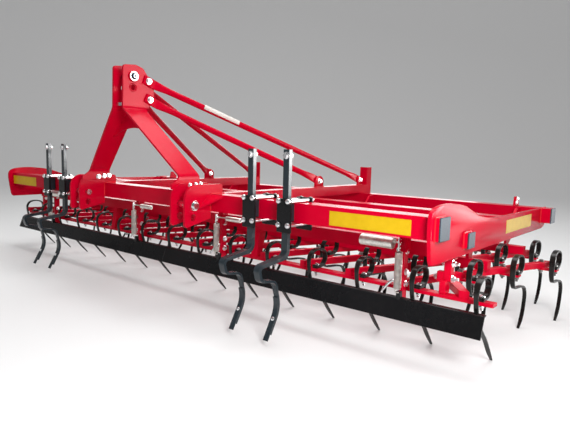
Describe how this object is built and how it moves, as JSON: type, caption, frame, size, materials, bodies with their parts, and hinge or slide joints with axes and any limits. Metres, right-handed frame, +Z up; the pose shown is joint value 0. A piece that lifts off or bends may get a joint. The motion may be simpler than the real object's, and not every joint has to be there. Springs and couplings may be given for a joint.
{
  "type": "spring tine cultivator",
  "caption": "Mounted spring tine cultivator with a red box frame, hitch mast, levelling board, track looseners and staggered rows of S-tines.",
  "frame": {"origin": "middle of the machine on the ground, under the centre of its bounding box", "axes": "+X to the machine's left end, across the working width; +Y away from the tractor; +Z up"},
  "size_m": [3.3282, 1.516, 1.1004],
  "materials": {
    "red_paint": "gloss",
    "black_paint": "gloss",
    "zinc": "satin",
    "grey_plastic": "satin"
  },
  "bodies": {
    "root": {"arm_brackets_left": "red_paint", "arm_brackets_right": "red_paint", "beam_caps_left": "grey_plastic", "beam_caps_right": "grey_plastic", "board_arms_left": "red_paint", "board_arms_right": "red_paint", "board_springs_left": "zinc", "board_springs_right": "zinc", "end_brace": "red_paint", "end_plate_left": "red_paint", "end_plate_right": "red_paint", "front_beam": "red_paint", "front_hangers_left": "red_paint", "front_hangers_right": "red_paint", "front_tie": "red_paint", "gang_beam_front": "red_paint", "gang_beam_rear": "red_paint", "hitch_plates_left": "red_paint", "hitch_plates_right": "red_paint", "level_board_left": "black_paint", "level_board_right": "black_paint", "long_beam_left": "red_paint", "long_beam_right": "red_paint", "loosener_clamps_left": "black_paint", "loosener_clamps_right": "black_paint", "loosener_points_left": "black_paint", "loosener_points_right": "black_paint", "loosener_shanks_left": "black_paint", "loosener_shanks_right": "black_paint", "lower_pin_left": "zinc", "lower_pin_right": "zinc", "mast_side_left": "red_paint", "mast_side_right": "red_paint", "mast_spacer": "zinc", "mast_web": "red_paint", "middle_hangers_left": "red_paint", "middle_hangers_right": "red_paint", "rear_beam": "red_paint", "rear_hangers_left": "red_paint", "rear_hangers_right": "red_paint", "rear_post_left": "red_paint", "rear_post_right": "red_paint", "second_beam": "red_paint", "stay_ears_left": "red_paint", "stay_ears_right": "red_paint", "stay_lower_left": "red_paint", "stay_lower_right": "red_paint", "stay_upper_left": "red_paint", "stay_upper_right": "red_paint", "third_beam": "red_paint", "tine_bars": "red_paint", "tines_row_a": "black_paint", "tines_row_b": "black_paint", "tines_row_c": "black_paint", "tines_row_d": "black_paint", "tines_row_e": "black_paint", "top_pin": "zinc"}
  },
  "joints": []
}
